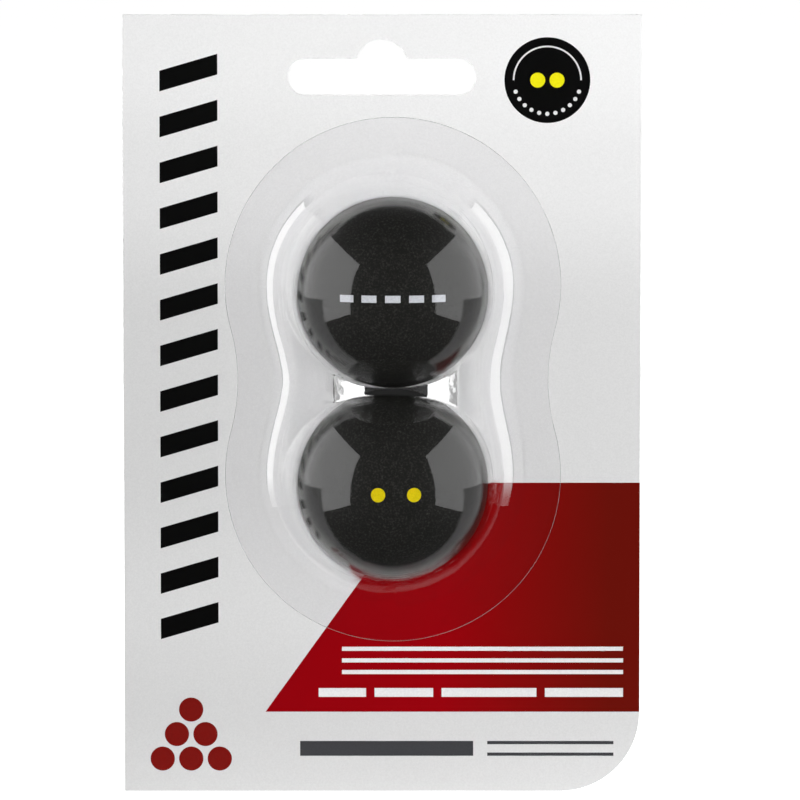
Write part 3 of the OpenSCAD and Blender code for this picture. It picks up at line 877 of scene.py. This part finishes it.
# The span from the middle line to outside_all, past the sheet, is halved until it closes on the surface.
outside_all = 70.0
halvings = 48
near = np.zeros_like(reach)
far = np.full_like(reach, outside_all)
for _ in range(halvings):
    halfway = (near + far) / 2
    inside = form_distance(
        halfway * reach * lean_x, base_z + halfway * reach * lean_z, flange_h + halfway * climb
    ) < 0
    near = np.where(inside, halfway, near)
    far = np.where(inside, far, halfway)
out_x = far * reach * lean_x
out_z = base_z + far * reach * lean_z
out_h = flange_h + far * climb

# The flange runs on from the foot to the waisted outline, where the cut edge is slightly round.
edge_x = np.where(lean_z == 0, lean_x * flange_edge(base_z), flange_r * lean_x)
edge_z = base_z + flange_r * lean_z
edge_round = 0.1
flange_rows = 10
flange_shares = np.linspace(0, 1, flange_rows + 1)[1:]
foot_x, foot_z = out_x[0], out_z[0]
inner_x, inner_z = edge_x - edge_round * lean_x, edge_z - edge_round * lean_z
flange_x = foot_x + (inner_x - foot_x) * flange_shares[:, None]
flange_z = foot_z + (inner_z - foot_z) * flange_shares[:, None]

# Two stretches of the sheet get a painted highlight, gloss raised by factors set for the photo's
# bright patches: the neck's crown, and at the sides the bend at the walls' foot. Each fades out over
# its soft border.
crown_painted_highlight = 21.0
crown_border = 0.3
knee_border = 0.5
bend_painted_highlight = 8.0
bend_low = math.radians(21)
bend_high = math.radians(47)
bend_soft = math.radians(3)
bend_top = 3.5
bend_sides = 0.66
bend_sides_soft = 0.12
bend_foot = 5.0


def ramp_up(value, width):
    """Goes from 0 where a value is 0 to 1 where it reaches a width."""
    return np.clip(value / width, 0, 1)


def gloss_with_painted_highlight(x, z, h, rise):
    """How many times the plain gloss the sheet gets, with its painted highlight; rise is how far its normal
    points to the front.
    """
    pockets = np.minimum(pocket_distance(x, z - ball_up, h), pocket_distance(x, z + ball_up, h))
    crown = ramp_up(pockets - neck_distance(x, z, h), crown_border) * ramp_up(h - knee_h, knee_border)
    tilt = np.arccos(np.clip(rise, -1, 1))
    bend = ramp_up(tilt - bend_low, bend_soft) * ramp_up(bend_high - tilt, bend_soft)
    bend = bend * (h > flange_h) * (h < flange_h + bend_top)
    sideways = np.abs(x) / np.maximum(np.hypot(x, np.maximum(np.abs(z) - ball_up, 0)), never_zero)
    bend = bend * ramp_up(sideways - bend_sides, bend_sides_soft)
    bend = bend * ramp_up(z + ball_up + bend_foot, bend_foot)
    return 1 + (crown_painted_highlight - 1) * crown + (bend_painted_highlight - 1) * bend


rings = []


def add_ring(x, z, h, normal, sealed, edge, outer=True):
    """Stores one ring of points with its normals and marks."""
    h = np.broadcast_to(h, x.shape)
    n = np.stack([np.broadcast_to(v, x.shape) for v in normal], -1)
    gloss = gloss_with_painted_highlight(x, z, h, n[:, 2]) if outer else np.ones_like(x)
    rings.append((np.stack([x, z, h], -1), n, sealed, edge, gloss))


up_normal = (0.0, 0.0, 1.0)
down_normal = (0.0, 0.0, -1.0)
# The outer surface from the top down, without the last row, whose points meet at the ridge.
for row in range(len(rises) - 2, -1, -1):
    x, z, h = out_x[row], out_z[row], out_h[row]
    add_ring(x, z, h, form_normal(x, z, h) if row else up_normal, 0, 0)
for row in range(flange_rows):
    add_ring(flange_x[row], flange_z[row], flange_h, up_normal, 0, 0)
edge_steps = 6
for turn in np.linspace(0, math.pi, edge_steps + 1)[1:-1]:
    out = edge_round * math.sin(turn)
    drop = (1 - math.cos(turn)) / 2 * (sheet_t - face_lift)
    normal = (lean_x * math.sin(turn), lean_z * math.sin(turn), math.cos(turn))
    add_ring(inner_x + out * lean_x, inner_z + out * lean_z, flange_h - drop, normal, 0, 1)
under_h = seal_t + face_lift
for row in range(flange_rows - 1, -1, -1):
    add_ring(flange_x[row], flange_z[row], under_h, down_normal, 1, 0, False)
for row in range(len(rises) - 1):
    x, z, h = out_x[row], out_z[row], out_h[row]
    nx, nz, nh = form_normal(x, z, h) if row else up_normal
    depth = sheet_t if row else sheet_t - face_lift
    add_ring(x - nx * depth, z - nz * depth, h - nh * depth, (-nx, -nz, -nh), 0, 0, False)

ring_points, ring_normals, ring_sealed, ring_edge, ring_painted_highlight = zip(*rings)
ring_count = len(rings)
faces = []
for ring in range(ring_count - 1):
    a, b = ring * column_count, (ring + 1) * column_count
    for i in range(column_count):
        j = (i + 1) % column_count
        faces.append((a + i, b + i, b + j, a + j))
# The ridge over the neck and both poles close the outer and the inner surface.
ridge_start = ring_count * column_count
ridge_z = slice_z
ridge_h = out_h[-1][: slice_count + 1]
ridge_x = np.zeros_like(ridge_z)
ridge_n = form_normal(ridge_x, ridge_z, ridge_h)
outer_ridge = np.stack([ridge_x, ridge_z, ridge_h], -1)
ridge_normals = np.stack(ridge_n, -1)
inner_ridge = outer_ridge - ridge_normals * sheet_t


def ridge_index(column):
    """The ridge point that a column climbs to."""
    if column <= slice_count:
        return column
    if column < slice_count + turn_count:
        return slice_count
    if column <= slice_count * 2 + turn_count:
        return slice_count * 2 + turn_count - column
    return 0


for start, ring, flip in ((ridge_start, 0, False), (ridge_start + slice_count + 1, ring_count - 1, True)):
    a = ring * column_count
    for i in range(column_count):
        j = (i + 1) % column_count
        p, q = start + ridge_index(i), start + ridge_index(j)
        face = [p, a + i, a + j] if p == q else [p, a + i, a + j, q]
        faces.append(tuple(reversed(face)) if flip else tuple(face))

ridge_zeros = np.zeros(2 * slice_count + 2)
all_points = np.concatenate([*ring_points, outer_ridge, inner_ridge])
all_normals = np.concatenate([*ring_normals, ridge_normals, -ridge_normals])
sealed = np.concatenate([np.repeat(ring_sealed, column_count), ridge_zeros])
edge = np.concatenate([np.repeat(ring_edge, column_count), ridge_zeros])


def on_blister(local):
    """Takes x, z and height over the card's face in millimetres to the frame in metres."""
    return np.stack([
        (local[:, 0] + blister_x) * MM, -(local[:, 2] + card_face) * MM, (local[:, 1] + blister_z) * MM
    ], -1)


world_points = on_blister(all_points)
world_normals = np.stack([all_normals[:, 0], -all_normals[:, 2], all_normals[:, 1]], -1)
mesh = bpy.data.meshes.new("formed_sheet")
mesh.from_pydata(world_points.tolist(), [], faces)
mesh.update()
ridge_painted_highlight = gloss_with_painted_highlight(ridge_x, ridge_z, ridge_h, ridge_n[2])
gloss = np.concatenate([*ring_painted_highlight, ridge_painted_highlight, np.ones_like(ridge_painted_highlight)])
# Fine crimps are left in the sheet where the walls turn into the domes.
crimp_reach = 5
crimp = np.exp(-(((all_points[:, 2] - dome_h) / crimp_reach) ** 2))
for name, values in (("sealed", sealed), ("edge", edge), ("gloss_with_painted_highlight", gloss), ("crimp", crimp)):
    mark = mesh.attributes.new(name, "FLOAT", "POINT")
    mark.data.foreach_set("value", values.astype(np.float32))
mesh.shade_smooth()
mesh.normals_split_custom_set_from_vertices(world_normals.tolist())
blister = new_object("formed_sheet", mesh)


def mark_of(tree, name):
    """A mark that the sheet's points carry."""
    return node(tree, "ShaderNodeAttribute", attribute_name=name).outputs["Fac"]


def between(tree, share, low, high):
    """Goes from one number to another as a share goes from 0 to 1."""
    step = node(tree, "ShaderNodeMapRange")
    step.inputs["To Min"].default_value = low
    step.inputs["To Max"].default_value = high
    tree.links.new(share, step.inputs["Value"])
    return step.outputs["Result"]


# The sheet is clear with a bright gloss that grows towards grazing sight. Its gloss takes little
# from the light that falls through it, the sealed face has none, and the cut edge is milky.
sheet_tint = (0.999, 0.998, 1, 1)
milky_grey = (0.5, 0.5, 0.5, 1)
facing_gloss = 0.045
gloss_power = 5.0
gloss_in_shadow = 0.15
edge_milk = 0.5
wave_scale = 320
wave_stretch = (1, 5, 1)
wave_height = 0.02 * MM
plain_wave = 0.5
crimp_wave = 1.6
clear_sheet = new_material("clear_sheet")
tree = clear_sheet.node_tree
through = node(tree, "ShaderNodeBsdfTransparent", Color=sheet_tint)
shine = node(tree, "ShaderNodeBsdfGlossy", Color=(1, 1, 1, 1), Roughness=0.03)
wave_share = math_node(tree, "MULTIPLY_ADD", mark_of(tree, "crimp"), crimp_wave, plain_wave)
waves = math_node(tree, "MULTIPLY", grain(tree, wave_scale, 3, 0.55, wave_stretch), wave_share)
bump(tree, shine, waves, wave_height)
facing = node(tree, "ShaderNodeLayerWeight", Blend=0.5).outputs["Facing"]
sheet_gloss = between(tree, math_node(tree, "POWER", facing, gloss_power), facing_gloss, 1.0)
open_face = math_node(tree, "SUBTRACT", 1.0, mark_of(tree, "sealed"))
open_gloss = math_node(tree, "MULTIPLY", sheet_gloss, open_face)
# The gloss is raised by the painted highlight that the sheet's points carry.
clamped = node(tree, "ShaderNodeMath", operation="MULTIPLY", use_clamp=True)
gloss_and_painted_highlight = fill(tree, clamped, (open_gloss, mark_of(tree, "gloss_with_painted_highlight")))
in_shadow = node(tree, "ShaderNodeLightPath").outputs["Is Shadow Ray"]
seen_gloss = math_node(tree, "MULTIPLY", gloss_and_painted_highlight, between(tree, in_shadow, 1.0, gloss_in_shadow))
face = node(tree, "ShaderNodeMixShader")
fill(tree, face, (seen_gloss, through.outputs[0], shine.outputs[0]))
milky = node(tree, "ShaderNodeBsdfDiffuse", Color=milky_grey)
milk_share = math_node(tree, "MULTIPLY", mark_of(tree, "edge"), edge_milk)
whole = node(tree, "ShaderNodeMixShader")
fill(tree, whole, (milk_share, face.outputs[0], milky.outputs[0]))
output = node(tree, "ShaderNodeOutputMaterial")
tree.links.new(whole.outputs[0], output.inputs["Surface"])
mesh.materials.append(clear_sheet)
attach(blister, "pack")
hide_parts("clear_blister")

# The seal coat is a thin clear layer under the flange, melted on to the film and the prints. It
# holds the blister all round, from the walls' foot to the flange's edge.
coat_points = []
for level in (face_lift, seal_t):
    for x, z in ((foot_x, foot_z), (inner_x, inner_z)):
        coat_points.append(np.stack([x, z, np.full_like(x, level)], -1))
coat_faces = []
for i in range(column_count):
    j = (i + 1) % column_count
    bottom_in, bottom_out, top_in, top_out = (k * column_count for k in range(4))
    coat_faces.append((top_in + i, top_out + i, top_out + j, top_in + j))
    coat_faces.append((bottom_in + j, bottom_out + j, bottom_out + i, bottom_in + i))
    coat_faces.append((bottom_out + i, bottom_out + j, top_out + j, top_out + i))
    coat_faces.append((bottom_in + j, bottom_in + i, top_in + i, top_in + j))
coat_mesh = bpy.data.meshes.new("melted_coat")
coat_mesh.from_pydata(on_blister(np.concatenate(coat_points)).tolist(), [], coat_faces)
coat = new_object("melted_coat", coat_mesh)
seal_film = new_material("seal_coat")
tree = seal_film.node_tree
through = node(tree, "ShaderNodeBsdfTransparent", Color=(1, 1, 1, 1))
output = node(tree, "ShaderNodeOutputMaterial")
tree.links.new(through.outputs[0], output.inputs["Surface"])
coat_mesh.materials.append(seal_film)
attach(coat, "pack")
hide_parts("seal_coat")
